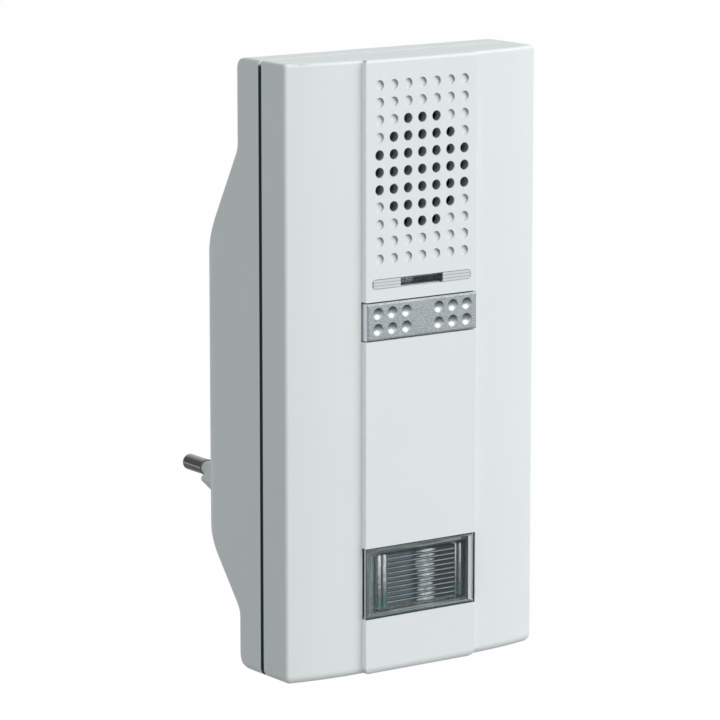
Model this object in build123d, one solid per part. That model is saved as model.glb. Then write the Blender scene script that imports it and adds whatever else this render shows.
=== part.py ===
from build123d import *
import math
import os

# Plug-in doorbell chime: a white two-part case with a raised front spine, a speaker grille,
# a clear light bar, a dimpled silver rocker key, a ribbed flash lens and a two-pin mains plug.
# The origin is on the plug's end face, midway between the pins. +Y points to the wall and
# +Z points up, so the front of the case faces -Y. Lengths are millimetres, angles degrees.

# Case
case_width = 70.8
case_height = 143.7
plug_above_bottom = 35.3
front_to_plug_face = 67.5
wall = 2.0
spine_width = 31.4
spine_step = 1.56
wing_fall = 2.42
front_to_seam = 13.3
seam_width = 1.2
seam_recess = 0.4
front_to_back_plane = 23.1
front_to_bulge_back = 42.4
top_to_bulge_start = 21.1
top_to_bulge_crest = 55.2
bottom_to_bulge_crest = 37.8
bottom_to_bulge_start = 14.1
bulge_hollow_round = 5.0
bulge_crest_round = 12.0
bulge_side_round = 10.0
shoulder_round = 0.9
front_top_round = 0.8
front_bottom_round = 2.0
back_top_round = 2.6
back_bottom_round = 4.0

# Shared clearances
overrun = 1.0
slip_gap = 0.1
turn_gap = 0.05

# Speaker grille
grille_columns = 7
grille_rows = 11
grille_pitch = 4.0
grille_hole_radius = 1.2
grille_top_margin = 5.9
dimple_depth = 0.5
open_reach = (0, 0, 1, 2, 3, 3, 3, 2, 1, 0, 0)

# Light bar
light_bar_width = 28.0
light_bar_height = 2.3
light_bar_depth = 1.2
light_bar_drop = 51.6
light_window_width = 11.8
light_window_height = 1.7
light_guide_gap = 0.3

# Rocker key
key_drop = 60.25
key_height = 8.6
key_gap = 0.3
key_proud = 0.4
key_thickness = 3.6
key_bevel = 0.45
key_dimple_radius = 1.45
key_dimple_depth = 0.75
key_dimple_first = 4.6
key_dimple_pitch = 4.0
key_dimple_rise = 1.85
key_dimples_across = 3
key_hinge_depth = 4.6
key_hinge_radius = 1.2
key_hinge_rib = 4.0
key_pin_length = 1.8
key_stem_radius = 1.4
key_stem_offset = 10.0
key_travel_gap = 0.45
saddle_width = 6.0
saddle_cover = 1.6
saddle_mouth = 2.0
switch_size = 6.0
switch_height = 3.4
switch_plunger_radius = 1.6
switch_plunger_height = 0.7

# Flash lens and lamp
lens_rise = 21.9
lens_height = 16.9
lens_plate = 1.6
lens_rim = 1.5
lens_depth = 3.9
lens_tab_width = 26.0
lens_tab_reach = 1.2
lens_tab_thickness = 1.0
lens_rib_pitch = 1.15
lens_rib_count = 11
lens_rib_depth = 0.8
lens_field_half_width = 10.0
lens_upright_width = 0.9
lens_upright_pitch = 1.5
lens_upright_count = 3
lamp_offset = 5.0
lamp_depth = 6.6
tube_radius = 1.5
tube_length = 11.0
tube_cap_radius = 1.7
tube_cap_length = 1.6
tube_lead_radius = 0.4
trough_radius = 3.3
trough_wall = 0.4
trough_height = 10.0
trough_foot_width = 3.0

# Speaker
speaker_radius = 18.0
speaker_rim_width = 2.5
speaker_rim_thickness = 1.2
speaker_seat_depth = 5.0
speaker_gasket_thickness = 1.0
speaker_collar_wall = 1.5
speaker_collar_gap = 0.15
basket_throat_radius = 10.5
basket_depth = 7.0
basket_wall = 0.8
magnet_radius = 9.5
magnet_hole_radius = 6.6
magnet_thickness = 4.6
yoke_radius = 10.2
yoke_thickness = 1.6
surround_width = 3.0
surround_thickness = 0.5
cone_neck_radius = 4.9
cone_drop = 4.2
cone_thickness = 0.4
dust_cap_radius = 5.6
dust_cap_rise = 2.2
speaker_screw_circle = 20.6
speaker_screw_count = 4
speaker_screw_first_angle = 45.0
coil_thickness = 0.3
coil_length = 3.2
pole_radius = 4.2
coil_gap_radius = 5.4
speaker_lead_radius = 0.4
speaker_lead_spacing = 4.0
speaker_lead_bend = 3.0
speaker_lead_run = 1.4
speaker_tag_thickness = 1.0
speaker_tag_width = 7.0
speaker_tag_height = 4.0
speaker_screw_length = 4.0
surround_rise = 1.2
surround_seat = 0.6

# Self-tapping screws
screw_boss_radius = 2.6
screw_radius = 1.1
screw_length = 5.0
screw_head_radius = 2.4
screw_head_height = 1.6
pilot_extra = 0.3
washer_head_radius = 3.8
washer_thickness = 0.8
case_boss_radius = 3.2
case_screw_radius = 1.4
case_screw_length = 15.0
case_screw_inset = 5.5
case_head_radius = 2.7
case_head_height = 1.8
case_head_sunk = 1.0
case_hole_gap = 0.2

# Circuit boards
board_thickness = 1.6
main_board_depth = 11.0
main_board_width = 51.0
main_board_top_drop = 49.0
main_board_rise = 10.7
board_hole_inset = 4.0
power_board_depth = 31.0
power_board_width = 49.0
power_board_top_drop = 55.0
power_board_rise = 32.2
power_post_radius = 2.5

# Parts on the main board
led_width = 3.2
led_height = 1.6
led_thickness = 1.5
chip_pitch = 16.0
chip_count = 2
chip_size = 9.0
chip_thickness = 1.4
chip_share = 0.655
module_width = 14.0
module_height = 11.0
module_thickness = 1.0
module_x = -12.0
module_share = 0.798
can_margin = 2.0
can_thickness = 1.8
antenna_radius = 0.5
antenna_length = 34.0
antenna_x = -22.5
link_pins = 5
link_pitch = 2.54
link_pin_radius = 0.35
link_block_height = 2.5
link_x = 2.0
link_rise = 4.5

# Parts on the power board
core_width = 19.0
core_height_share = 0.283
core_depth = 14.5
core_wall = 4.0
core_x = 7.0
core_share = 0.636
bobbin_wall = 1.0
winding_radius = 5.6
core_leg_radius = 3.0
flash_can_radius = 6.5
flash_can_gap = 4.5
flash_can_margin = 6.0
flash_can_x = -14.5
filter_can_radius = 4.0
filter_can_height = 12.0
filter_can_pitch = 9.5
filter_can_count = 2
filter_can_x = -16.0
filter_can_rise = 12.0
diode_radius = 1.3
diode_length = 4.6
diode_pitch = 3.2
diode_count = 4
diode_x = 9.6
diode_rise = 9.1
fuse_radius = 1.8
fuse_length = 9.0
fuse_x = 12.5
fuse_share = 0.425
trigger_radius = 3.0
trigger_length = 8.0
trigger_x = 14.5
trigger_share = 0.885

# Plug
plug_width = 35.3
plug_height = 13.7
plug_corner_round = 0.8
plug_floor = 3.0
plinth_width = 46.0
plinth_height = 21.0
plinth_round = 3.0
front_to_plinth_face = 50.0
pin_spacing = 18.6
pin_length = 19.0
pin_radius = 2.0
pin_core_radius = 1.3
pin_sleeve_radius = 1.7
pin_relief_radius = 2.4
pin_relief_depth = 0.6
pin_sleeve_length = 10.0
pin_tip_round = 0.9
pin_lean = 1.6
pin_tail_length = 26.0
pin_boss_radius = 3.6
pin_boss_length = 14.0
contact_width = 5.0
contact_sheet = 0.6
contact_height = 6.0

# Places worked out from the sizes above
front = -front_to_plug_face
bottom = -plug_above_bottom
top = bottom + case_height
seam_front = front + front_to_seam
seam_back = seam_front + seam_width
back_plane = front + front_to_back_plane
bulge_back = front + front_to_bulge_back
inner_front = front + wall
board_front = front + main_board_depth
board_back = board_front + board_thickness
power_front = front + power_board_depth
power_back = power_front + board_thickness
main_top = top - main_board_top_drop
main_bottom = bottom + main_board_rise
power_top = top - power_board_top_drop
power_bottom = bottom + power_board_rise
core_height = core_height_share * (power_top - power_bottom)
light_z = top - light_bar_drop
key_z = top - key_drop
lens_z = bottom + lens_rise
grille_top = top - grille_top_margin
speaker_z = grille_top - grille_pitch * (grille_rows - 1) / 2


def block(x_low, x_high, y_low, y_high, z_low, z_high):
    middle = ((x_low + x_high) / 2, (y_low + y_high) / 2, (z_low + z_high) / 2)
    return Pos(*middle) * Box(x_high - x_low, y_high - y_low, z_high - z_low)


# A round bar along Y, from y_low to y_high
def rod(radius, x, z, y_low, y_high):
    return Pos(x, (y_low + y_high) / 2, z) * Rot(90, 0, 0) * Cylinder(radius, y_high - y_low)


# A round bar along X or Z
def bar(radius, length, middle, turn=(0, 0, 0)):
    return Pos(*middle) * Rot(*turn) * Cylinder(radius, length)


# A ring about a Y axis, from y_low to y_high
def ring(outer, inner, x, z, y_low, y_high):
    return rod(outer, x, z, y_low, y_high) - rod(inner, x, z, y_low - overrun, y_high + overrun)


# A solid turned about a Y axis through (x, z) from points given as (radius, y)
def turned(points, x, z):
    face = make_face(Polyline(*points, close=True))
    return Pos(x, 0, z) * revolve(face, Axis.Y)


# A face drawn in X and Z, pushed along Y from y_low to y_high
def prism(face, y_low, y_high, x=0, z=0):
    return Pos(x, y_low, z) * extrude(Plane.XZ * face, -(y_high - y_low))


# Half the case seen from above, with the raised spine, its step and the curved wing
def half_plan(inset, back):
    half_spine = spine_width / 2 - inset
    half_case = case_width / 2 - inset
    crown = front + inset
    foot = crown + spine_step
    shoulder = foot + wing_fall
    spine = Line((0, crown), (half_spine, crown))
    step = Line((half_spine, crown), (half_spine, foot))
    wing = TangentArc((half_spine, foot), (half_case, shoulder), tangent=(1, 0))
    outside = Polyline((half_case, shoulder), (half_case, back), (0, back), (0, crown))
    return make_face([spine, step, wing, outside])


def front_form(inset, back):
    half = half_plan(inset, back)
    height = case_height - 2 * inset
    return Pos(0, 0, bottom + inset) * extrude(half + mirror(half, about=Plane.YZ), height)


def rounded_front_form():
    form = front_form(0, seam_front)
    shoulders = form.edges().filter_by(Axis.Z).filter_by_position(
        Axis.Y, front + spine_step + wing_fall / 2, seam_front - overrun)
    form = fillet(shoulders, shoulder_round)
    ends = form.edges().filter_by_position(Axis.Y, front - overrun, seam_front - slip_gap)
    upper = ends.filter_by_position(Axis.Z, top - slip_gap, top + slip_gap)
    form = fillet(upper, front_top_round)
    ends = form.edges().filter_by_position(Axis.Y, front - overrun, seam_front - slip_gap)
    lower = ends.filter_by_position(Axis.Z, bottom - slip_gap, bottom + slip_gap)
    return fillet(lower, front_bottom_round)


def boss(radius, x, z, y_high):
    return rod(radius, x, z, front - overrun, y_high)


# A grid cell's place across and up the grille, as (x, z)
def grille_place(column, row):
    middle_column = (grille_columns - 1) / 2
    return (column - middle_column) * grille_pitch, grille_top - row * grille_pitch


def grille_openings():
    openings = []
    middle_column = (grille_columns - 1) / 2
    for row in range(grille_rows):
        for column in range(grille_columns):
            x, z = grille_place(column, row)
            reach = open_reach[row]
            is_open = reach > 0 and abs(column - middle_column) <= reach
            depth = wall + overrun if is_open else dimple_depth
            openings.append(rod(grille_hole_radius, x, z, front - overrun, front + depth))
    return openings


# Four places, one in each corner of a frame, as (x, z)
def corner_places(half_width, upper, lower):
    return [(x, z) for x in (-half_width, half_width) for z in (upper, lower)]


case_screw_places = corner_places(
    case_width / 2 - case_screw_inset, top - case_screw_inset, bottom + case_screw_inset)
main_screw_places = corner_places(
    main_board_width / 2 - board_hole_inset,
    main_top - board_hole_inset,
    main_bottom + board_hole_inset)
power_screw_places = corner_places(
    power_board_width / 2 - board_hole_inset,
    power_top - board_hole_inset,
    power_bottom + board_hole_inset)
speaker_screw_angles = [
    math.radians(speaker_screw_first_angle + turn * 360 / speaker_screw_count)
    for turn in range(speaker_screw_count)]
speaker_screw_places = [
    (speaker_screw_circle * math.cos(angle), speaker_z + speaker_screw_circle * math.sin(angle))
    for angle in speaker_screw_angles]
speaker_seat = front + speaker_seat_depth
rim_front = speaker_seat + speaker_gasket_thickness
rim_back = rim_front + speaker_rim_thickness
rim_inner_radius = speaker_radius - speaker_rim_width
case_pilot_end = back_plane - case_head_sunk - case_head_height - case_screw_length - pilot_extra


def speaker_seat_ring():
    inner = speaker_radius + speaker_collar_gap
    outer = inner + speaker_collar_wall
    collar = rod(outer, 0, speaker_z, front, rim_back)
    collar -= rod(inner, 0, speaker_z, speaker_seat, rim_back + overrun)
    return collar - rod(rim_inner_radius, 0, speaker_z, front - overrun, rim_back + overrun)


# The snap saddles that carry the rocker key's pins, one above and one below its slot
def key_saddles():
    slot_edge = key_height / 2 + key_gap
    hinge_y = front + key_hinge_depth
    saddles = []
    for side in (-1, 1):
        near = key_z + side * slot_edge
        far = near + side * key_pin_length
        saddle = block(-saddle_width / 2, saddle_width / 2, front,
                       hinge_y + saddle_cover, min(near, far), max(near, far))
        bore = bar(key_hinge_radius + turn_gap, 2 * key_pin_length + overrun, (0, hinge_y, near))
        mouth = block(-saddle_mouth / 2, saddle_mouth / 2, hinge_y, hinge_y + saddle_cover + overrun,
                      min(near, far) - overrun, max(near, far) + overrun)
        saddles.append(saddle - bore - mouth)
    return saddles


def front_cover():
    outer = rounded_front_form()
    cover = outer - front_form(wall, seam_front + overrun)
    bosses = [boss(screw_boss_radius, x, z, rim_back) for x, z in speaker_screw_places]
    bosses += [boss(screw_boss_radius, x, z, board_front) for x, z in main_screw_places]
    bosses += [boss(case_boss_radius, x, z, seam_back) for x, z in case_screw_places]
    room = front_form(0, seam_back)
    rim_room = rod(speaker_radius + speaker_collar_gap, 0, speaker_z, speaker_seat, back_plane)
    cover = cover + [(piece & room) - rim_room for piece in bosses + key_saddles() + [speaker_seat_ring()]]
    cuts = grille_openings()
    cuts += [rod(screw_radius, x, z, rim_back - speaker_screw_length - pilot_extra, rim_back + overrun)
             for x, z in speaker_screw_places]
    cuts += [rod(screw_radius, x, z, board_back - screw_length - pilot_extra, board_front + overrun)
             for x, z in main_screw_places]
    cuts += [rod(case_screw_radius, x, z, case_pilot_end, seam_back + overrun)
             for x, z in case_screw_places]
    cuts += [light_recess(), key_slot(), lens_opening()]
    return cover - cuts


def light_recess():
    recess = prism(RectangleRounded(light_bar_width, light_bar_height, light_bar_height / 3),
                   front - overrun, front + light_bar_depth, z=light_z)
    window = block(-light_window_width / 2, light_window_width / 2, front, front + wall + overrun,
                   light_z - light_window_height / 2, light_z + light_window_height / 2)
    return recess + window


def key_slot():
    half_width = spine_width / 2 + key_gap
    half_height = key_height / 2 + key_gap
    return block(-half_width, half_width, front - overrun, inner_front + spine_step + overrun / 2,
                 key_z - half_height, key_z + half_height)


def lens_opening():
    half_width = spine_width / 2
    half_height = lens_height / 2
    return block(-half_width, half_width, front - overrun, front + lens_depth,
                 lens_z - half_height, lens_z + half_height)


def parting_gasket():
    recess = 2 * seam_recess
    corner = back_bottom_round - seam_recess
    outer = RectangleRounded(case_width - recess, case_height - recess, corner)
    inner = Rectangle(case_width - 2 * wall, case_height - 2 * wall)
    return prism(outer - inner, seam_front, seam_back, z=bottom + case_height / 2)


def light_bar():
    body = prism(RectangleRounded(light_bar_width, light_bar_height, light_bar_height / 3),
                 front, front + light_bar_depth, z=light_z)
    guide_end = board_front - led_thickness - light_guide_gap
    half_height = light_window_height / 2
    guide = block(-light_window_width / 2, light_window_width / 2, front, guide_end,
                  light_z - half_height, light_z + half_height)
    return body + guide


def indicator_led():
    return block(-led_width / 2, led_width / 2, board_front - led_thickness, board_front,
                 light_z - led_height / 2, light_z + led_height / 2)


# The rocker key: two dimpled pads on one bar, hinged on upright pins behind its middle
def key_bar():
    face_y = front - key_proud
    back_y = face_y + key_thickness
    half_width = spine_width / 2
    half_height = key_height / 2
    hinge_y = front + key_hinge_depth
    key = block(-half_width, half_width, face_y, back_y, key_z - half_height, key_z + half_height)
    key = chamfer(key.faces().sort_by(Axis.Y)[0].edges(), key_bevel)
    rib = block(-key_hinge_rib / 2, key_hinge_rib / 2, back_y, hinge_y,
                key_z - half_height, key_z + half_height)
    pins = bar(key_hinge_radius, key_height + 2 * (key_gap + key_pin_length), (0, hinge_y, key_z))
    barrel = bar(key_hinge_rib / 2, key_height, (0, hinge_y, key_z))
    stems = [rod(key_stem_radius, side * key_stem_offset, key_z, back_y, switch_front() - key_travel_gap)
             for side in (-1, 1)]
    return key + [rib, barrel, pins] + stems - key_dimples(face_y)


def key_dimples(face_y):
    ball_radius = (key_dimple_radius ** 2 + key_dimple_depth ** 2) / (2 * key_dimple_depth)
    ball_y = face_y + key_dimple_depth - ball_radius
    places = [(side * (key_dimple_first + step * key_dimple_pitch), key_z + rise)
              for side in (-1, 1)
              for step in range(key_dimples_across)
              for rise in (-key_dimple_rise, key_dimple_rise)]
    return [Pos(x, ball_y, z) * Sphere(ball_radius) for x, z in places]


def switch_front():
    return board_front - switch_height - switch_plunger_height


def key_switches():
    switches = []
    for side in (-1, 1):
        x = side * key_stem_offset
        body_front = board_front - switch_height
        body = block(x - switch_size / 2, x + switch_size / 2, body_front, board_front,
                     key_z - switch_size / 2, key_z + switch_size / 2)
        switches.append(body + rod(switch_plunger_radius, x, key_z, switch_front(), body_front))
    return Compound(switches)


# The clear lens: a shallow tray with prism ribs across its back and upright ribs at each side
def flash_lens():
    half_width = spine_width / 2
    half_height = lens_height / 2
    back_y = front + lens_depth
    plate_back = front + lens_plate
    lens = block(-half_width, half_width, front, back_y, lens_z - half_height, lens_z + half_height)
    lens -= block(-half_width + lens_rim, half_width - lens_rim, plate_back, back_y + overrun,
                  lens_z - half_height + lens_rim, lens_z + half_height - lens_rim)
    tab = block(-lens_tab_width / 2, lens_tab_width / 2, inner_front, inner_front + lens_tab_thickness,
                lens_z - half_height - lens_tab_reach, lens_z + half_height + lens_tab_reach)
    opening = block(-half_width, half_width, front, back_y,
                    lens_z - half_height + lens_rim, lens_z + half_height - lens_rim)
    ribs = [cross_rib(step) for step in range(lens_rib_count)]
    ribs += [upright_rib(side, step) for side in (-1, 1) for step in range(lens_upright_count)]
    return lens + [tab - opening] + ribs


def cross_rib(step):
    z = lens_z + (step - (lens_rib_count - 1) / 2) * lens_rib_pitch
    half = lens_rib_pitch / 2
    root = front + lens_plate
    crest = root + lens_rib_depth
    face = make_face(Polyline((root, z - half), (crest, z), (root, z + half), close=True))
    width = 2 * lens_field_half_width
    return Pos(-lens_field_half_width, 0, 0) * extrude(Plane.YZ * face, width)


def upright_rib(side, step):
    x = side * (lens_field_half_width + lens_upright_width / 2 + step * lens_upright_pitch)
    half = lens_upright_width / 2
    root = front + lens_plate
    crest = root + lens_rib_depth
    face = make_face(Polyline((x - half, root), (x + half, root), (x, crest), close=True))
    height = lens_rib_count * lens_rib_pitch
    return Pos(0, 0, lens_z - height / 2) * extrude(face, height)


def flash_tube():
    return bar(tube_radius, tube_length, (lamp_offset, front + lamp_depth, lens_z))


# The tube's end caps, each with the lead that carries it on the main board
def tube_caps():
    caps = []
    for side in (-1, 1):
        z = lens_z + side * (tube_length + tube_cap_length) / 2
        cap = bar(tube_cap_radius, tube_cap_length, (lamp_offset, front + lamp_depth, z))
        caps.append(cap + rod(tube_lead_radius, lamp_offset, z, front + lamp_depth, board_front))
    return Compound(caps)


def flash_reflector():
    lamp_y = front + lamp_depth
    outer = bar(trough_radius, trough_height, (lamp_offset, lamp_y, lens_z))
    inner = bar(trough_radius - trough_wall, trough_height + overrun, (lamp_offset, lamp_y, lens_z))
    half_foot = trough_foot_width / 2
    foot = block(lamp_offset - half_foot, lamp_offset + half_foot, lamp_y + trough_radius / 2,
                 board_front, lens_z - trough_height / 2, lens_z + trough_height / 2)
    mouth = block(lamp_offset - trough_radius, lamp_offset + trough_radius, lamp_y - trough_radius,
                  lamp_y, lens_z - trough_height, lens_z + trough_height)
    return outer + foot - inner - mouth


def speaker_gasket():
    return ring(speaker_radius, rim_inner_radius, 0, speaker_z, speaker_seat, rim_front)


basket_plate_front = rim_front + basket_depth
basket_plate_back = basket_plate_front + basket_wall


def speaker_basket():
    return turned([
        (rim_inner_radius, rim_front),
        (speaker_radius, rim_front),
        (speaker_radius, rim_back),
        (rim_inner_radius + basket_wall, rim_back),
        (basket_throat_radius + basket_wall, basket_plate_front),
        (basket_throat_radius + basket_wall, basket_plate_back),
        (coil_gap_radius, basket_plate_back),
        (coil_gap_radius, basket_plate_front),
        (basket_throat_radius, basket_plate_front),
        (rim_inner_radius, rim_back)], 0, speaker_z)


def speaker_magnet():
    return ring(magnet_radius, magnet_hole_radius, 0, speaker_z,
                basket_plate_back, basket_plate_back + magnet_thickness)


def speaker_yoke():
    plate_front = basket_plate_back + magnet_thickness
    plate = rod(yoke_radius, 0, speaker_z, plate_front, plate_front + yoke_thickness)
    return plate + rod(pole_radius, 0, speaker_z, basket_plate_front, plate_front)


def arched(outer_radius, inner_radius, edge_y, rise, thickness):
    middle = (outer_radius + inner_radius) / 2
    upper = ThreePointArc((inner_radius, edge_y), (middle, edge_y - rise), (outer_radius, edge_y))
    lower = ThreePointArc((outer_radius, edge_y + thickness), (middle, edge_y - rise + thickness),
                          (inner_radius, edge_y + thickness))
    ends = [Line(upper @ 1, lower @ 0), Line(lower @ 1, upper @ 0)]
    return Pos(0, 0, speaker_z) * revolve(make_face([upper, lower] + ends), Axis.Y)


cone_edge_radius = rim_inner_radius - surround_width
cone_front = rim_front + surround_seat


def speaker_surround():
    return arched(rim_inner_radius, cone_edge_radius, cone_front, surround_rise, surround_thickness)


def speaker_cone():
    neck_y = cone_front + cone_drop
    return turned([
        (cone_edge_radius, cone_front),
        (cone_neck_radius, neck_y),
        (cone_neck_radius, neck_y + cone_thickness),
        (cone_edge_radius, cone_front + cone_thickness)], 0, speaker_z)


def speaker_dust_cap():
    slope = cone_drop / (cone_edge_radius - cone_neck_radius)
    edge_y = cone_front + slope * (cone_edge_radius - dust_cap_radius)
    inner = dust_cap_radius - cone_thickness
    outer_ball = (dust_cap_radius ** 2 + dust_cap_rise ** 2) / (2 * dust_cap_rise)
    inner_ball = outer_ball - cone_thickness
    ball_y = edge_y - dust_cap_rise + outer_ball
    shell = Pos(0, ball_y, speaker_z) * (Sphere(outer_ball) - Sphere(inner_ball))
    return shell & rod(dust_cap_radius + inner, 0, speaker_z, edge_y - outer_ball, edge_y)


def voice_coil():
    start = cone_front + cone_drop
    return ring(cone_neck_radius + coil_thickness, cone_neck_radius - coil_thickness / 2, 0, speaker_z,
                start + cone_thickness, start + cone_thickness + coil_length)


def speaker_tag():
    high = speaker_z - rim_inner_radius - basket_wall - slip_gap
    return block(-speaker_tag_width / 2, speaker_tag_width / 2, rim_back,
                 rim_back + speaker_tag_thickness, high - speaker_tag_height, high)


# Each lead leaves the tag, loops over the main board's top edge and lands on its back
def speaker_leads():
    leads = []
    start_z = speaker_z - speaker_radius
    start_y = rim_back + speaker_tag_thickness
    bend_y = board_back + speaker_lead_run
    for side in (-1, 1):
        x = side * speaker_lead_spacing / 2
        run_out = Line((x, start_y, start_z), (x, bend_y, start_z))
        bend = ThreePointArc((x, bend_y, start_z),
                             (x, bend_y + speaker_lead_bend, start_z - speaker_lead_bend),
                             (x, bend_y, start_z - 2 * speaker_lead_bend))
        run_in = Line((x, bend_y, start_z - 2 * speaker_lead_bend),
                      (x, board_back, start_z - 2 * speaker_lead_bend))
        section = Plane((x, start_y, start_z), z_dir=(0, 1, 0)) * Circle(speaker_lead_radius)
        leads.append(sweep(section, path=Wire([run_out, bend, run_in])))
    print("speaker lead bend radius", speaker_lead_bend)
    return Compound(leads)


def screw(x, z, head_y, away, shank_radius, length, head_radius, head_height):
    low, high = sorted((head_y, head_y + away * head_height))
    tip_low, tip_high = sorted((head_y, head_y - away * length))
    return rod(head_radius, x, z, low, high) + rod(shank_radius, x, z, tip_low, tip_high)


def speaker_screws():
    screws = []
    for x, z in speaker_screw_places:
        washer = rod(washer_head_radius, x, z, rim_back, rim_back + washer_thickness)
        pan = rod(screw_head_radius, x, z, rim_back, rim_back + washer_thickness + screw_head_height)
        shank = rod(screw_radius, x, z, rim_back - speaker_screw_length, rim_back)
        screws.append(washer + pan + shank)
    return Compound(screws)


def board_screws(places, head_y, away):
    return Compound([screw(x, z, head_y, away, screw_radius, screw_length,
                           screw_head_radius, screw_head_height) for x, z in places])


def case_screws():
    head_y = back_plane - case_head_sunk - case_head_height
    return Compound([screw(x, z, head_y, 1, case_screw_radius, case_screw_length,
                           case_head_radius, case_head_height) for x, z in case_screw_places])


def board(width, low, high, y_front, places):
    plate = block(-width / 2, width / 2, y_front, y_front + board_thickness, low, high)
    past = y_front + board_thickness + overrun
    return plate - [rod(screw_radius + slip_gap, x, z, y_front - overrun, past) for x, z in places]


def main_board():
    return board(main_board_width, main_bottom, main_top, board_front, main_screw_places)


def power_board():
    return board(power_board_width, power_bottom, power_top, power_front, power_screw_places)


# A height on one of the boards, as a share of the way from its lower edge to its upper edge
def on_main(share):
    return main_bottom + share * (main_top - main_bottom)


def on_power(share):
    return power_bottom + share * (power_top - power_bottom)


def control_chips():
    chips = []
    for step in range(chip_count):
        x = (step - (chip_count - 1) / 2) * chip_pitch
        z = on_main(chip_share)
        chips.append(block(x - chip_size / 2, x + chip_size / 2, board_front - chip_thickness, board_front,
                           z - chip_size / 2, z + chip_size / 2))
    return Compound(chips)


def receiver_board():
    z = on_main(module_share)
    return block(module_x - module_width / 2, module_x + module_width / 2, board_back,
                 board_back + module_thickness, z - module_height / 2, z + module_height / 2)


def receiver_can():
    z = on_main(module_share)
    half_width = module_width / 2 - can_margin
    half_height = module_height / 2 - can_margin
    base = board_back + module_thickness
    can = block(module_x - half_width, module_x + half_width, base, base + can_thickness,
                z - half_height, z + half_height)
    return chamfer(can.faces().sort_by(Axis.Y)[-1].edges(), can_thickness / 4)


def antenna_wire():
    z = on_main(module_share) - antenna_length / 2
    return bar(antenna_radius, antenna_length, (antenna_x, board_back + antenna_radius, z))


def link_places():
    return [link_x + (step - (link_pins - 1) / 2) * link_pitch for step in range(link_pins)]


def link_pin_row():
    z = power_bottom + link_rise
    return Compound([rod(link_pin_radius, x, z, board_back, power_front) for x in link_places()])


def link_header():
    z = power_bottom + link_rise
    half_width = link_pins * link_pitch / 2
    header = block(link_x - half_width, link_x + half_width, board_back, board_back + link_block_height,
                   z - link_pitch / 2, z + link_pitch / 2)
    return header - [rod(link_pin_radius, x, z, board_back - overrun, power_front) for x in link_places()]


# Ferrite frame with a middle leg; the bobbin and winding sit on that leg
def core_middle():
    return core_x, power_front - core_depth / 2, on_power(core_share)


def transformer_core():
    x, y, z = core_middle()
    frame = Pos(x, y, z) * Box(core_width, core_depth, core_height)
    frame -= Pos(x, y, z) * Box(core_width - core_wall, core_depth + overrun, core_height - core_wall)
    return frame + bar(core_leg_radius, core_height - core_wall, (x, y, z))


def transformer_bobbin():
    x, y, z = core_middle()
    length = core_height - core_wall
    tube = bar(core_leg_radius + bobbin_wall, length, (x, y, z))
    flanges = [bar(winding_radius + bobbin_wall / 2, bobbin_wall,
                   (x, y, z + side * (length - bobbin_wall) / 2)) for side in (-1, 1)]
    return tube + flanges - bar(core_leg_radius, length + overrun, (x, y, z))


def transformer_winding():
    x, y, z = core_middle()
    length = core_height - core_wall - 2 * bobbin_wall
    return bar(winding_radius, length, (x, y, z)) - bar(core_leg_radius + bobbin_wall,
                                                        length + overrun, (x, y, z))


def flash_capacitor():
    low = power_bottom + filter_can_rise + filter_can_radius + flash_can_gap
    high = power_top - flash_can_margin
    middle = (flash_can_x, power_front - flash_can_radius, (low + high) / 2)
    can = bar(flash_can_radius, high - low, middle)
    return chamfer(can.edges().filter_by(GeomType.CIRCLE), flash_can_radius / 8)


def filter_capacitors():
    cans = []
    for step in range(filter_can_count):
        x = filter_can_x + step * filter_can_pitch
        can = rod(filter_can_radius, x, power_bottom + filter_can_rise,
                  power_front - filter_can_height, power_front)
        cans.append(chamfer(can.faces().sort_by(Axis.Y)[0].edges(), filter_can_radius / 8))
    return Compound(cans)


def rectifier_diodes():
    y = power_front - diode_radius
    z = power_bottom + diode_rise
    return Compound([bar(diode_radius, diode_length, (diode_x + step * diode_pitch, y, z))
                     for step in range(diode_count)])


def fuse_resistor():
    middle = (fuse_x, power_front - fuse_radius, on_power(fuse_share))
    return bar(fuse_radius, fuse_length, middle, (0, 90, 0))


def trigger_coil():
    return rod(trigger_radius, trigger_x, on_power(trigger_share),
               power_front - trigger_length, power_front)


# Side outline of the rear case, with the bulge that swells and falls back in smooth curves
def rear_outline(front_edge):
    face = make_face(Polyline(
        (front_edge, bottom),
        (back_plane, bottom),
        (back_plane, bottom + bottom_to_bulge_start),
        (bulge_back, bottom + bottom_to_bulge_crest),
        (bulge_back, top - top_to_bulge_crest),
        (back_plane, top - top_to_bulge_start),
        (back_plane, top),
        (front_edge, top),
        close=True))
    corners = face.vertices()
    crests = corners.filter_by_position(Axis.X, bulge_back - slip_gap, bulge_back + slip_gap)
    face = fillet(crests, bulge_crest_round)
    corners = face.vertices().filter_by_position(Axis.X, back_plane - slip_gap, back_plane + slip_gap)
    hollows = corners.filter_by_position(Axis.Y, bottom + overrun, top - overrun)
    face = fillet(hollows, bulge_hollow_round)
    corners = face.vertices().filter_by_position(Axis.X, back_plane - slip_gap, back_plane + slip_gap)
    face = fillet(corners.sort_by(Axis.Y)[0], back_bottom_round)
    corners = face.vertices().filter_by_position(Axis.X, back_plane - slip_gap, back_plane + slip_gap)
    return fillet(corners.sort_by(Axis.Y)[-1], back_top_round)


# Rear case seen from above: straight sides and well-rounded back corners
def rear_plan(front_edge):
    half = case_width / 2
    face = make_face(Polyline((-half, front_edge), (half, front_edge), (half, bulge_back),
                              (-half, bulge_back), close=True))
    corners = face.vertices().filter_by_position(Axis.Y, bulge_back - slip_gap, bulge_back + slip_gap)
    return fillet(corners, bulge_side_round)


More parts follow.
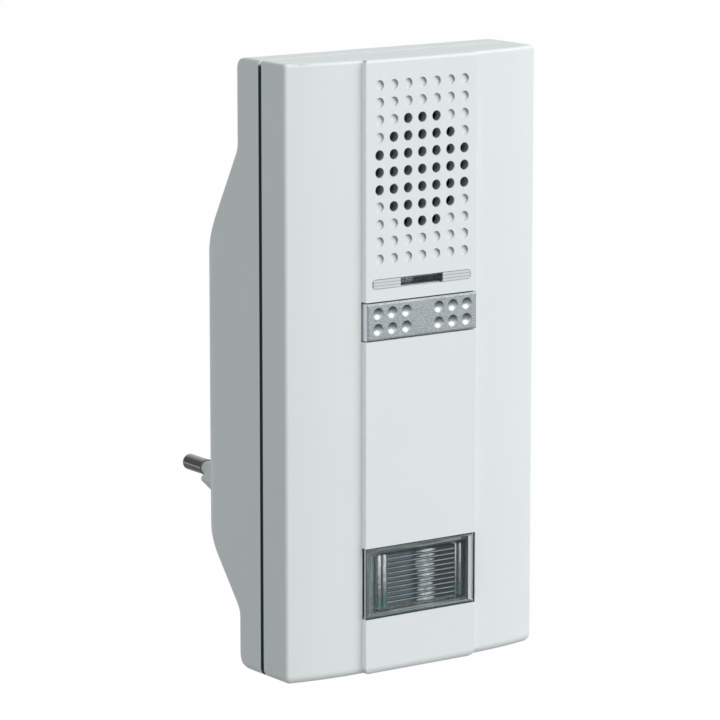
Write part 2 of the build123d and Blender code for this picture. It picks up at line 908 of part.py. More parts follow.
def rear_form(inset):
    front_edge = seam_back
    if inset > 0:
        front_edge = seam_back - inset - overrun
    outline = rear_outline(front_edge)
    plan = rear_plan(front_edge)
    if inset > 0:
        outline = offset(outline, amount=-inset)
        plan = offset(plan, amount=-inset)
    across = Pos(-case_width / 2, 0, 0) * extrude(Plane.YZ * outline, case_width)
    upright = Pos(0, 0, bottom - overrun) * extrude(plan, case_height + 2 * overrun)
    return across & upright


# The rear case's outside, its corners rounded in front view to match the front cover
def rounded_rear_form():
    face = Rectangle(case_width, case_height)
    corners = face.vertices().sort_by(Axis.Y)
    face = fillet(corners[:2], front_bottom_round)
    corners = face.vertices().sort_by(Axis.Y)
    face = fillet(corners[-2:], front_top_round)
    return rear_form(0) & prism(face, seam_back, bulge_back, z=bottom + case_height / 2)


def plug_outline(inset):
    half_width = plug_width / 2
    half_height = plug_height / 2
    shoulder = half_width - half_height
    face = make_face(Polyline((half_width, 0), (shoulder, half_height), (-shoulder, half_height),
                              (-half_width, 0), (-shoulder, -half_height), (shoulder, -half_height),
                              close=True))
    if inset > 0:
        return offset(face, amount=-inset, kind=Kind.INTERSECTION)
    return fillet(face.vertices(), plug_corner_round)


# Places a piece made round the Y axis as one of the two pins, which lean towards each other
def at_pin(piece, side):
    return Pos(side * pin_spacing / 2, 0, 0) * Rot(0, 0, side * pin_lean) * piece


def rear_case():
    shell_back = front + front_to_plinth_face
    plinth = prism(RectangleRounded(plinth_width, plinth_height, plinth_round),
                   back_plane, shell_back)
    stem = prism(plug_outline(0), back_plane, 0)
    outer = rounded_rear_form() + [plinth & block(-case_width, case_width, power_back, shell_back,
                                                  bottom, top), stem]
    plinth_room = prism(Rectangle(plinth_width - 2 * wall, plinth_height - 2 * wall),
                        power_back, shell_back - wall)
    stem_room = prism(plug_outline(wall), power_back, -plug_floor)
    case = outer - [rear_form(wall), plinth_room, stem_room]
    posts = [rod(power_post_radius, x, z, power_back, shell_back) & outer for x, z in power_screw_places]
    towers = [rod(case_boss_radius, x, z, seam_back, back_plane) & outer for x, z in case_screw_places]
    pin_bosses = [at_pin(rod(pin_boss_radius, 0, 0, -pin_boss_length, -plug_floor / 2), side)
                  for side in (-1, 1)]
    case = case + posts + towers + pin_bosses
    head_floor = back_plane - case_head_sunk - case_head_height
    cuts = [rod(screw_radius, x, z, power_back - overrun, power_front + screw_length + pilot_extra)
            for x, z in power_screw_places]
    cuts += [rod(case_screw_radius + case_hole_gap, x, z, seam_back - overrun, back_plane)
             for x, z in case_screw_places]
    cuts += [rod(case_head_radius + case_hole_gap, x, z, head_floor, back_plane + overrun)
             for x, z in case_screw_places]
    cuts += [at_pin(rod(pin_sleeve_radius + turn_gap, 0, 0, -pin_boss_length - overrun, overrun), side)
             for side in (-1, 1)]
    cuts += [at_pin(rod(pin_relief_radius, 0, 0, -pin_relief_depth, overrun), side)
             for side in (-1, 1)]
    return case - cuts


def plug_pin():
    pin = turned([
        (0, -pin_tail_length),
        (pin_core_radius, -pin_tail_length),
        (pin_core_radius, pin_sleeve_length),
        (pin_radius, pin_sleeve_length),
        (pin_radius, pin_length),
        (0, pin_length)], 0, 0)
    tip = pin.edges().filter_by_position(Axis.Y, pin_length - slip_gap, pin_length + slip_gap)
    return fillet(tip, pin_tip_round)


def plug_pins():
    return Compound([at_pin(plug_pin(), side) for side in (-1, 1)])


def pin_sleeves():
    sleeve = ring(pin_sleeve_radius, pin_core_radius + turn_gap / 2, 0, 0,
                  -pin_boss_length, pin_sleeve_length)
    return Compound([at_pin(sleeve, side) for side in (-1, 1)])


# Brass spring clips that join the pins' tails to the power board
def pin_contacts():
    half = contact_height / 2
    tail_y = -pin_tail_length * math.cos(math.radians(pin_lean)) - turn_gap
    tail_x = pin_spacing / 2 + pin_tail_length * math.sin(math.radians(pin_lean))
    outline = make_face(Polyline(
        (power_back, -half),
        (tail_y, -half),
        (tail_y, half),
        (tail_y - contact_sheet, half),
        (tail_y - contact_sheet, -half + contact_sheet),
        (power_back + contact_sheet, -half + contact_sheet),
        (power_back + contact_sheet, half),
        (power_back, half), close=True))
    clip = Pos(-contact_width / 2, 0, 0) * extrude(Plane.YZ * outline, contact_width)
    return Compound([Pos(side * tail_x, 0, 0) * clip for side in (-1, 1)])


parts = {
    "front_cover": front_cover(),
    "parting_gasket": parting_gasket(),
    "rear_case": rear_case(),
    "case_screws": case_screws(),
    "light_bar": light_bar(),
    "indicator_led": indicator_led(),
    "key_bar": key_bar(),
    "key_switches": key_switches(),
    "flash_lens": flash_lens(),
    "flash_tube": flash_tube(),
    "tube_caps": tube_caps(),
    "flash_reflector": flash_reflector(),
    "speaker_gasket": speaker_gasket(),
    "speaker_basket": speaker_basket(),
    "speaker_surround": speaker_surround(),
    "speaker_cone": speaker_cone(),
    "speaker_dust_cap": speaker_dust_cap(),
    "voice_coil": voice_coil(),
    "speaker_magnet": speaker_magnet(),
    "speaker_yoke": speaker_yoke(),
    "speaker_tag": speaker_tag(),
    "speaker_leads": speaker_leads(),
    "speaker_screws": speaker_screws(),
    "main_board": main_board(),
    "main_board_screws": board_screws(main_screw_places, board_back, 1),
    "control_chips": control_chips(),
    "receiver_board": receiver_board(),
    "receiver_can": receiver_can(),
    "antenna_wire": antenna_wire(),
    "link_header": link_header(),
    "link_pins": link_pin_row(),
    "power_board": power_board(),
    "power_board_screws": board_screws(power_screw_places, power_front, -1),
    "transformer_core": transformer_core(),
    "transformer_bobbin": transformer_bobbin(),
    "transformer_winding": transformer_winding(),
    "flash_capacitor": flash_capacitor(),
    "filter_capacitors": filter_capacitors(),
    "rectifier_diodes": rectifier_diodes(),
    "fuse_resistor": fuse_resistor(),
    "trigger_coil": trigger_coil(),
    "plug_pins": plug_pins(),
    "pin_sleeves": pin_sleeves(),
    "pin_contacts": pin_contacts(),
}

os.makedirs("parts", exist_ok=True)
for name, shape in parts.items():
    export_step(shape, f"parts/{name}.step")
    print(name, round(shape.volume, 1))
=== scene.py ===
import bpy
import bmesh
import math
from mathutils import Matrix, Vector


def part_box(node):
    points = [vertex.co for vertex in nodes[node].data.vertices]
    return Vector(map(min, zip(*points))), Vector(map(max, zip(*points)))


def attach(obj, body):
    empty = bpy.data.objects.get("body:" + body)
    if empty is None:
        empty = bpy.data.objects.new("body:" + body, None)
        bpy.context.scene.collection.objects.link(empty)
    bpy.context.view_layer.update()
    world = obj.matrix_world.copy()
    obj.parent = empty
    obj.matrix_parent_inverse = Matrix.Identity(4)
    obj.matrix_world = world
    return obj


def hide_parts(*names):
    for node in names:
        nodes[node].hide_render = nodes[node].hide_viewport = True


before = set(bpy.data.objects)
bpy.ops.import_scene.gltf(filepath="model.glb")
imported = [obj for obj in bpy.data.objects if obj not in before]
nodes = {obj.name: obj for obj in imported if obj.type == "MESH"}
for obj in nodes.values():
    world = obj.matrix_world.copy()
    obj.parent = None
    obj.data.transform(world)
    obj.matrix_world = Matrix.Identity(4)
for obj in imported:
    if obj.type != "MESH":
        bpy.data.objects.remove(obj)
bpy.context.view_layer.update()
mm = 0.001


# The low and high corners of a CAD node's box, in millimetres
def boxOf(node):
    return [Vector(corner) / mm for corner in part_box(node)]


coverLow, coverHigh = boxOf("front_cover")
keyLow, keyHigh = boxOf("key_bar")
lensLow, lensHigh = boxOf("flash_lens")
barLow, barHigh = boxOf("light_bar")
keyMiddle = (keyLow.z + keyHigh.z) / 2
lensMiddle = (lensLow.z + lensHigh.z) / 2
spineHalf = lensHigh.x


# A socket used in plain arithmetic: each operator adds one Math node
class Value:
    def __init__(self, tree, socket):
        self.tree = tree
        self.socket = socket

    def math(self, operation, first, second=0.0):
        node = self.tree.nodes.new("ShaderNodeMath")
        node.operation = operation
        feed(self.tree, node.inputs[0], first)
        feed(self.tree, node.inputs[1], second)
        return Value(self.tree, node.outputs[0])

    def __add__(self, other):
        return self.math("ADD", self, other)

    def __sub__(self, other):
        return self.math("SUBTRACT", self, other)

    def __rsub__(self, other):
        return self.math("SUBTRACT", other, self)

    def __mul__(self, other):
        return self.math("MULTIPLY", self, other)

    def __truediv__(self, other):
        return self.math("DIVIDE", self, other)

    def __rtruediv__(self, other):
        return self.math("DIVIDE", other, self)

    def __abs__(self):
        return self.math("ABSOLUTE", self)

    def orMore(self, other):
        return self.math("MAXIMUM", self, other)

    def fraction(self):
        return self.math("FRACT", self)

    def sine(self):
        return self.math("SINE", self)

    __radd__ = __add__
    __rmul__ = __mul__


def feed(tree, socket, value):
    if isinstance(value, Value):
        tree.links.new(value.socket, socket)
    elif socket.type == "RGBA" and len(value) == 3:
        socket.default_value = (*value, 1.0)
    else:
        socket.default_value = value


# A level that runs from half the spread under its middle to half the spread over it
def around(middle, spread, share):
    return (middle - spread / 2) + spread * share


def scaled(colour, factor):
    return tuple(c * factor for c in colour)


# A material or world being built: add() makes any node from its type, settings and inputs
class Shader:
    def __init__(self, owner):
        owner.use_nodes = True
        self.owner = owner
        self.tree = owner.node_tree
        self.tree.nodes.clear()

    def add(self, kind, settings=None, inputs=None, output=0):
        node = self.tree.nodes.new(kind)
        for name, value in (settings or {}).items():
            if name == "stops":
                self.setStops(node.color_ramp, value)
            else:
                setattr(node, name, value)
        for name, value in (inputs or {}).items():
            feed(self.tree, node.inputs[name], value)
        return Value(self.tree, node.outputs[output]) if len(node.outputs) else node

    def setStops(self, ramp, stops):
        for element, (place, level) in zip(ramp.elements, stops):
            element.position = place
            element.color = (level, level, level, 1.0)

    def place(self, scale=(1.0, 1.0, 1.0)):
        where = self.add("ShaderNodeTexCoord", output="Object")
        return self.add("ShaderNodeMapping", inputs={"Vector": where, "Scale": scale})

    def axis(self, name):
        where = self.add("ShaderNodeTexCoord", output="Object")
        return self.add("ShaderNodeSeparateXYZ", inputs={0: where}, output=name)

    # 0 at the first level and 1 at the second, which may be the lower one
    def between(self, value, zero, one, kind="LINEAR"):
        return self.add("ShaderNodeMapRange", {"interpolation_type": kind}, {
            "Value": value, "From Min": zero, "From Max": one})

    # Masks: 1 on one side of a limit, past a soft edge, both in millimetres
    def below(self, value, limit, soft):
        return self.between(value, limit * mm, (limit - soft) * mm)

    def above(self, value, limit, soft):
        return self.between(value, limit * mm, (limit + soft) * mm)

    def within(self, value, low, high, soft):
        return self.below(abs(value - (low + high) / 2 * mm), (high - low) / 2, soft)

    # A noise is given as its scale, in cells to the metre, and its detail
    def noise(self, scale, detail, where=None):
        return self.add("ShaderNodeTexNoise", inputs={
            "Vector": where or self.place(), "Scale": scale, "Detail": detail})

    # Noise with a scale of its own along each axis, so that it runs in streaks
    def streaks(self, scale, levels):
        return self.ramp(self.noise(1.0, 3.0, self.place(scale)), *levels)

    # 0 up to the first level and 1 from the last one on
    def ramp(self, amount, first, last):
        return self.add("ShaderNodeValToRGB", {"stops": ((first, 0.0), (last, 1.0))}, {
            "Fac": amount})

    def blend(self, amount, first, second):
        return self.add("ShaderNodeMix", {"data_type": "RGBA"}, {0: amount, 6: first, 7: second}, 2)

    def bump(self, height, strength, depth):
        return self.add("ShaderNodeBump", inputs={
            "Height": height, "Strength": strength, "Distance": depth * mm})

    def principled(self, inputs):
        return self.add("ShaderNodeBsdfPrincipled", inputs=inputs)

    def mixed(self, amount, first, second):
        return self.add("ShaderNodeMixShader", inputs={0: amount, 1: first, 2: second})

    def close(self, shader, kind="ShaderNodeOutputMaterial"):
        self.add(kind, inputs={"Surface": shader})
        return self.owner


def newShader(name):
    return Shader(bpy.data.materials.new(name))


# Pieces drawn for this scene take a CAD node's place. Their outlines are in millimetres, and
# points nearer to each other than the weld distance become one.
weld = 0.0005


def finishPiece(bm, name, body, node, finish):
    bmesh.ops.remove_doubles(bm, verts=bm.verts, dist=weld)
    bmesh.ops.scale(bm, vec=(mm, mm, mm), verts=bm.verts)
    bmesh.ops.recalc_face_normals(bm, faces=bm.faces)
    mesh = bpy.data.meshes.new(name)
    bm.to_mesh(mesh)
    bm.free()
    mesh.materials.append(finish)
    piece = bpy.data.objects.new(name, mesh)
    bpy.context.scene.collection.objects.link(piece)
    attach(piece, body)
    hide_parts(node)


# Adds a box given by its low and high corners
def addBox(bm, low, high):
    middle = (Vector(low) + Vector(high)) / 2
    size = Vector(high) - Vector(low)
    bmesh.ops.create_cube(bm, size=1.0, matrix=Matrix.Translation(middle) @ Matrix.Diagonal(
        (*size, 1.0)))


# Pushes a closed outline of (height, depth) points along X
def addPrism(bm, points, low, high):
    rings = [[bm.verts.new((end, depth, height)) for height, depth in points] for end in (low, high)]
    bm.faces.new(rings[0])
    bm.faces.new(list(reversed(rings[1])))
    for k in range(len(points)):
        n = (k + 1) % len(points)
        bm.faces.new((rings[0][k], rings[0][n], rings[1][n], rings[1][k]))


# Rounds the edges that a test of their two ends picks
def roundEdges(bm, picked, offset, steps):
    bmesh.ops.bevel(bm, geom=[e for e in bm.edges if picked(*e.verts)], offset=offset,
                    affect="EDGES", segments=steps, profile=0.5, material=-1, clamp_overlap=True)


# Joins closed shapes that reach into each other to one closed shape
def joined(shapes):
    made = []
    for bm in shapes:
        bmesh.ops.recalc_face_normals(bm, faces=bm.faces)
        mesh = bpy.data.meshes.new("shape")
        bm.to_mesh(mesh)
        bm.free()
        made.append(bpy.data.objects.new("shape", mesh))
        bpy.context.scene.collection.objects.link(made[-1])
    for other in made[1:]:
        union = made[0].modifiers.new("join", "BOOLEAN")
        union.operation = "UNION"
        union.solver = "EXACT"
        union.object = other
    bpy.context.view_layer.update()
    whole = bmesh.new()
    evaluated = made[0].evaluated_get(bpy.context.evaluated_depsgraph_get())
    whole.from_mesh(evaluated.to_mesh())
    evaluated.to_mesh_clear()
    for shape in made:
        mesh = shape.data
        bpy.data.objects.remove(shape)
        bpy.data.meshes.remove(mesh)
    return whole


# White case. The shade in its holes, dimples and seam, and the light that the wings throw onto the
# spine's side walls, are painted on through masks. Their places are in millimetres: the grille's
# middle in the part's frame, depths from the cover's front or rim, and the seam's top from the
# cover's top.
plasticValues = {
    "clouds": (28.0, 2.0), "grain": (5200.0, 2.0), "patches": (140.0, 3.0), "darker": 0.97,
    "spread": 0.1, "bump": (0.06, 0.02),
}
grilleValues = {
    "middle": 82.5, "pitch": 4.0, "square": 14.0, "diamond": 18.0, "edge": 0.05, "holeStart": 0.3,
    "halfWidth": 13.4, "halfHeight": 21.4, "rim": 0.1, "sunk": 0.02, "sunkSoft": 0.04,
    "dimple": 0.6, "shadow": (0.08, 0.32),
}
seamValues = {"rim": 0.06, "rimSoft": 0.02, "top": 0.8, "topSoft": 0.6}
wallValues = {"reach": 0.06, "soft": 0.03}


# Painted shade inside the through holes, which lie inside both a square and a diamond about the
# grille's middle
def throughHoleShade(s):
    v = grilleValues
    edge = v["edge"]
    across = abs(s.axis("X"))
    up = abs(s.axis("Z") - v["middle"] * mm)
    inSquare = s.below(across.orMore(up), v["square"] + edge, 2 * edge)
    inDiamond = s.below(across + up, v["diamond"] + edge, 2 * edge)
    return inSquare * inDiamond * s.above(
        s.axis("Y"), coverLow.y + v["holeStart"] - edge, 2 * edge)


# The upper right of each blind dimple, which lies in shadow
def dimpleShade(s):
    v = grilleValues
    across = s.axis("X")
    up = s.axis("Z") - v["middle"] * mm
    depth = s.axis("Y") - coverLow.y * mm
    offsets = [(value / (v["pitch"] * mm) + 0.5).fraction() - 0.5 for value in (across, up)]
    inGrille = s.below(abs(across), v["halfWidth"], v["rim"]) * s.below(
        abs(up), v["halfHeight"], v["rim"])
    sunk = s.above(depth, v["sunk"], v["sunkSoft"]) * s.below(depth, v["dimple"], v["edge"])
    return s.between(offsets[0] + offsets[1], *v["shadow"]) * inGrille * sunk


# Along the top the light falls into the seam, so it is pale there and dark elsewhere
def belowTop(s):
    v = seamValues
    return s.below(s.axis("Z"), coverHigh.z - v["top"], v["topSoft"])


# The rear case's rim, which the gasket lies against, painted dark as the shade in the seam
def seamRimShade(s):
    v = seamValues
    return s.below(s.axis("Y"), coverHigh.y + v["rim"], v["rimSoft"]) * belowTop(s)


# The spine's side walls, painted lighter as the light that the wings throw onto them
def spineWallLight(s):
    v = wallValues
    return s.below(abs(abs(s.axis("X")) - spineHalf * mm), v["reach"], v["soft"])


# Each entry of paintedLightAndShade is a mask and a colour: painted shade or painted light, laid
# over the plastic where the mask is 1
def mouldedPlastic(name, colour, roughness=0.4, paintedLightAndShade=()):
    v = plasticValues
    s = newShader(name)
    paint = s.blend(s.noise(*v["clouds"]), scaled(colour, v["darker"]), colour)
    for shade, paintedColour in paintedLightAndShade:
        paint = s.blend(shade(s), paint, paintedColour)
    return s.close(s.principled({
        "Base Color": paint,
        "Roughness": around(roughness, v["spread"], s.noise(*v["patches"])),
        "Normal": s.bump(s.noise(*v["grain"]), *v["bump"])}))


# Key: silver lacquer with a fine metal fleck. Its dimples are painted dark in their upper halves as
# shade and bright in their lower ones as a highlight, and its two end faces carry a painted sheen.
keyValues = {
    "fleck": (2900.0, 2.0), "fleckLevels": (0.36, 0.66), "fleckShare": 0.75,
    "drift": (420.0, 3.0), "driftShare": 0.25, "rows": 3.7, "reach": 14.9, "rim": 0.1,
    "sunk": 0.03, "sunkSoft": 0.09, "upper": (0.02, 0.3), "lower": (-0.02, -0.2),
    "end": 15.5, "endSoft": 0.18, "colour": (0.53, 0.57, 0.585), "darker": 0.62,
    "lighter": 1.25, "upperShadeColour": (0.12, 0.13, 0.14), "lowerHighlightColour": (0.7, 0.73, 0.74),
    "endSheenColour": (0.95, 0.98, 1.0), "metallic": 0.85, "roughness": 0.42, "spread": 0.08,
    "bump": (0.18, 0.02),
}


def silverLacquer(name, v):
    s = newShader(name)
    fleck = s.ramp(s.noise(*v["fleck"]), *v["fleckLevels"])
    drift = s.noise(*v["drift"])
    across = abs(s.axis("X"))
    height = s.axis("Z") - keyMiddle * mm
    rise = (height / (v["rows"] * mm)).fraction() - 0.5
    sunk = s.above(s.axis("Y"), keyLow.y + v["sunk"], v["sunkSoft"]) * s.below(
        abs(height), v["rows"] - v["rim"], v["rim"]) * s.below(across, v["reach"], v["rim"])
    paint = s.blend(fleck * v["fleckShare"] + drift * v["driftShare"],
                    scaled(v["colour"], v["darker"]), scaled(v["colour"], v["lighter"]))
    # Painted shade in the dimples' upper halves and a painted highlight in their lower ones
    paint = s.blend(sunk * s.between(rise, *v["upper"]), paint, v["upperShadeColour"])
    paint = s.blend(sunk * s.between(rise, *v["lower"]), paint, v["lowerHighlightColour"])
    # The end faces carry a painted sheen
    return s.close(s.principled({
        "Base Color": s.blend(s.above(across, v["end"], v["endSoft"]), paint, v["endSheenColour"]),
        "Metallic": v["metallic"],
        "Roughness": around(v["roughness"], v["spread"], drift),
        "Normal": s.bump(fleck, *v["bump"])}))


# Clear moulding: light falls through it onto what lies behind, and it bends what is seen. Where
# drawn() gives a share and a paint, it is covered with that paint, which on the lens is painted
# light and shade.
clearValues = {
    "wave": (700.0, 2.0), "waveShare": 0.5, "haze": (900.0, 2.0), "roughness": 0.025,
    "spread": 0.02, "bends": 1.4, "bump": (0.04, 0.05), "paintRoughness": 0.3, "paintGloss": 0.1,
}


def clearMoulding(name, tint, shade, clear, drawn=None):
    v = clearValues
    s = newShader(name)
    wave = s.noise(*v["wave"])
    body = s.principled({
        "Base Color": s.blend(wave * v["waveShare"], tint, shade),
        "Roughness": around(v["roughness"], v["spread"], s.noise(*v["haze"])),
        "IOR": v["bends"],
        "Transmission Weight": clear,
        "Normal": s.bump(wave, *v["bump"])})
    through = s.add("ShaderNodeBsdfTransparent", inputs={"Color": shade})
    whole = s.mixed(s.add("ShaderNodeLightPath", output="Is Shadow Ray"), body, through)
    if drawn:
        share, paint = drawn(s)
        solid = s.principled({"Base Color": paint, "Roughness": v["paintRoughness"],
                              "Specular IOR Level": v["paintGloss"]})
        whole = s.mixed(share, whole, solid)
    return s.close(whole)


# Flash lens: a thin clear plate, an inset frame behind it and low half-round ribs across its
# middle, which all reach a little way into the plate, and frosted upright ribs beside them
lensValues = {
    "height": 16.9, "plate": 0.9, "reach": 0.12, "frameInset": 1.5, "sideInset": 2.4,
    "frameWall": 0.9, "ribPitch": 1.15, "ribs": 11, "ribHeight": 0.26, "ribSteps": 8,
    "field": (-9.3, 10.1), "frosted": ((-10.4, -9.65, 6.3), (-11.9, -11.15, 6.3),
                                       (10.3, 10.55, 6.3), (11.6, 11.85, 6.3),
                                       (14.45, 15.5, 7.9)),
    "frostedDepth": 0.5, "edgeRound": 0.18, "edgeSteps": 3, "sill": (0.35, 1.4),
    "sillReach": (-15.4, 14.3),
}
ribFieldHalf = lensValues["ribs"] * lensValues["ribPitch"] / 2

# What the lens shows, painted onto its back as light and shade: in each rib a painted image of the
# lamp on painted dark slate shade, paler on the left, and a painted highlight line where two ribs
# meet.
# Beside the ribs are painted dark, grey and white strips of shade and light, and a painted dark line
# of shade runs round the plate's edge. Heights in a rib are shares of its pitch.
lensImage = {
    "backDepth": 0.04, "soft": 0.02, "drift": (330.0, 2.0), "driftReach": 0.9,
    "lamp": 1.9, "lampHalf": 3.1, "lampRise": 0.33, "lampCore": 0.25, "lampFade": 2.0,
    "sparkle": (700.0, 2.0), "sparkleMiddle": 0.75, "sparkleSpread": 1.9,
    "line": (0.37, 0.43), "lineMiddle": 0.8, "lineSpread": 1.0,
    "slateMiddle": 0.6, "slate": (0.3, 0.24), "stripHalf": 7.7, "whiteStrip": (14.1, 15.7),
    "darkStrip": (12.0, 14.1), "darkShare": 0.75, "greyStrip": (-15.4, -12.3), "greyShare": 0.5,
    "streaks": (2400.0, 60.0, 60.0), "streakLevels": (0.4, 0.62),
    "edgeWidth": 0.24, "edgeSoft": 0.05, "edgeShare": 0.9, "side": 0.04,
    "black": (0.006, 0.014, 0.018), "slateShadeColour": (0.085, 0.12, 0.145),
    "lineColour": (0.5, 0.55, 0.56), "paintedLampColour": (0.72, 0.76, 0.76),
    "edgeShadeColour": (0.02, 0.04, 0.04), "grey": (0.12, 0.15, 0.15), "pale": (0.34, 0.4, 0.4),
    "white": (0.86, 0.9, 0.9), "sideColour": (0.5, 0.55, 0.55),
}


# Painted in each rib: an image of the lamp, a highlight line where ribs meet, and dark slate shade
# left of the lamp
def lampInRibs(s, v, x, z):
    phase = ((z - (lensMiddle - ribFieldHalf) * mm) / (lensValues["ribPitch"] * mm)).fraction()
    drift = s.noise(*v["drift"])
    across = (x - v["lamp"] * mm) / (v["lampHalf"] * mm) + around(0.0, v["driftReach"], drift)
    rise = (phase - 0.5) / v["lampRise"]
    lamp = s.between(across * across + rise * rise, 1.0, v["lampCore"], "SMOOTHSTEP") * around(
        v["sparkleMiddle"], v["sparkleSpread"], s.noise(*v["sparkle"]))
    line = s.between(abs(phase - 0.5), *v["line"]) * around(v["lineMiddle"], v["lineSpread"], drift)
    leftOfLamp = s.below(x, v["lamp"] - v["lampHalf"], v["lampFade"])
    slate = leftOfLamp * s.between(abs(phase - v["slateMiddle"]), *v["slate"])
    ground = s.blend(slate, v["black"], v["slateShadeColour"])
    return s.blend(lamp, s.blend(line, ground, v["lineColour"]), v["paintedLampColour"])


def lensPicture(s):
    v = lensImage
    x, z = s.axis("X"), s.axis("Z")
    up = abs(z - lensMiddle * mm)
    soft = v["soft"]
    onBack = s.above(s.axis("Y"), lensLow.y + lensValues["plate"] - v["backDepth"], soft)
    field = onBack * s.below(up, ribFieldHalf, soft) * s.within(x, *lensValues["field"], soft)
    strips = onBack * s.below(up, v["stripHalf"], soft)
    white, dark, grey = [strips * s.within(x, *v[name], soft) for name in (
        "whiteStrip", "darkStrip", "greyStrip")]
    half = lensValues["height"] / 2
    edge = s.above((abs(x) - (spineHalf - half) * mm).orMore(up), half - v["edgeWidth"],
                   v["edgeSoft"])
    side = s.below(x, v["side"] - spineHalf, soft)
    streak = s.streaks(v["streaks"], v["streakLevels"])
    paint = lampInRibs(s, v, x, z)
    paint = s.blend(dark, paint, s.blend(streak, v["black"], v["grey"]))
    paint = s.blend(grey, paint, s.blend(streak, v["grey"], v["pale"]))
    paint = s.blend(white, paint, v["white"])
    paint = s.blend(edge, paint, v["edgeShadeColour"])
    paint = s.blend(side, paint, v["sideColour"])
    stripShare = white + v["darkShare"] * dark + v["greyShare"] * grey
    return field + stripShare.orMore(v["edgeShare"] * edge), paint


# Cloudy plastic of the lens's sills, with streaks that run across
sillValues = {
    "streaks": (60.0, 400.0, 2600.0), "levels": (0.38, 0.66), "dark": (0.03, 0.055, 0.055),
    "light": (0.36, 0.4, 0.39), "roughness": 0.3, "spread": 0.2, "bump": (0.2, 0.05),
}


def streakedPlastic(name, v):
    s = newShader(name)
    streak = s.streaks(v["streaks"], v["levels"])
    return s.close(s.principled({
        "Base Color": s.blend(streak, v["dark"], v["light"]),
        "Roughness": around(v["roughness"], v["spread"], streak),
        "Normal": s.bump(streak, *v["bump"])}))


# Frosted ribs: those left of the frame's right wall are painted darker downwards as shade, and at
# their foot a painted image of the board shows through them. Heights are from the lens's middle.
frostedValues = {
    "board": -2.5, "boardSoft": 1.0, "wall": 13.1, "wallSoft": 0.2, "fade": 5.0, "fadeSoft": 7.0,
    "fadeShare": 0.75, "ripple": (1100.0, 2.0), "rippleLevels": (0.42, 0.6), "rippleShare": 0.3,
    "colour": (0.87, 0.88, 0.88), "shadeFactor": 0.16, "boardImageColour": (0.0, 0.13, 0.08),
    "haze": (1200.0, 3.0), "roughness": 0.325, "spread": 0.15, "coat": 0.4,
    "grain": (1500.0, 3.0), "bump": (0.15, 0.03),
}


def frostedPlastic(name, v):
    s = newShader(name)
    z = s.axis("Z")
    inside = s.below(s.axis("X"), v["wall"], v["wallSoft"])
    foot = s.below(z, lensMiddle + v["board"], v["boardSoft"])
    downwardShade = s.below(z, lensMiddle + v["fade"], v["fadeSoft"])
    ripple = s.ramp(s.noise(*v["ripple"]), *v["rippleLevels"])
    paint = s.blend(inside * (downwardShade * v["fadeShare"] + ripple * v["rippleShare"]), v["colour"],
                    scaled(v["colour"], v["shadeFactor"]))
    return s.close(s.principled({
        "Base Color": s.blend(foot * inside, paint, v["boardImageColour"]),
        "Roughness": around(v["roughness"], v["spread"], s.noise(*v["haze"])),
        "Coat Weight": v["coat"],
        "Normal": s.bump(s.noise(*v["grain"]), *v["bump"])}))


# A row of half-round ribs: their tops as a scalloped line, closed by a base inside the plate
def scallops(v, start, depth):
    base = depth - v["reach"]
    points = [(start, base), (start, depth)]
    for rib in range(v["ribs"]):
        for step in range(1, v["ribSteps"] + 1):
            share = step / v["ribSteps"]
            points.append((start + (rib + share) * v["ribPitch"],
                           depth + v["ribHeight"] * math.sin(math.pi * share)))
    return points + [(start + v["ribs"] * v["ribPitch"], base)]


# The inset frame as four walls that reach into each other
def frameWalls(v, plateBack, half):
    outer = v["frameInset"]
    side = spineHalf - v["sideInset"]
    wall = v["frameWall"]
    reach = v["reach"]
    walls = []
    for sign in (-1, 1):
        upright = bmesh.new()
        near, far = sorted((sign * (side - wall), sign * side))
        addBox(upright, (near, plateBack - reach, lensMiddle - half + outer),
               (far, lensHigh.y, lensMiddle + half - outer))
        level = bmesh.new()
        near, far = sorted((lensMiddle + sign * (half - outer - wall),
                            lensMiddle + sign * (half - outer)))
        addBox(level, (-side + wall - reach, plateBack - 2 * reach, near),
               (side - wall + reach, lensHigh.y - reach, far))
        walls += [upright, level]
    return walls


def makeLens(v):
    half = v["height"] / 2
    front = lensLow.y
    plateBack = front + v["plate"]
    plate = bmesh.new()
    addBox(plate, (-spineHalf, front, lensMiddle - half), (spineHalf, plateBack, lensMiddle + half))
    roundEdges(plate, lambda a, b: max(a.co.y, b.co.y) < front + v["plate"] / 2, v["edgeRound"],
               v["edgeSteps"])
    ribs = bmesh.new()
    addPrism(ribs, scallops(v, lensMiddle - ribFieldHalf, plateBack), *v["field"])
    shapes = [plate, *frameWalls(v, plateBack, half), ribs]
    finishPiece(joined(shapes), "lens", "root", "flash_lens", finishes["clearLens"])
    frosted = bmesh.new()
    for near, far, rise in v["frosted"]:
        addBox(frosted, (near, plateBack, lensMiddle - rise),
               (far, plateBack + v["frostedDepth"], lensMiddle + rise))
    finishPiece(frosted, "lensRibs", "root", "flash_lens", finishes["frostedRib"])
    sills = bmesh.new()
    for sign in (-1, 1):
        near, far = sorted(lensMiddle + sign * (half - inset) for inset in v["sill"])
        addBox(sills, (v["sillReach"][0], plateBack, near),
               (v["sillReach"][1], plateBack + v["frostedDepth"], far))
    finishPiece(sills, "lensSills", "root", "flash_lens", finishes["frameEdge"])


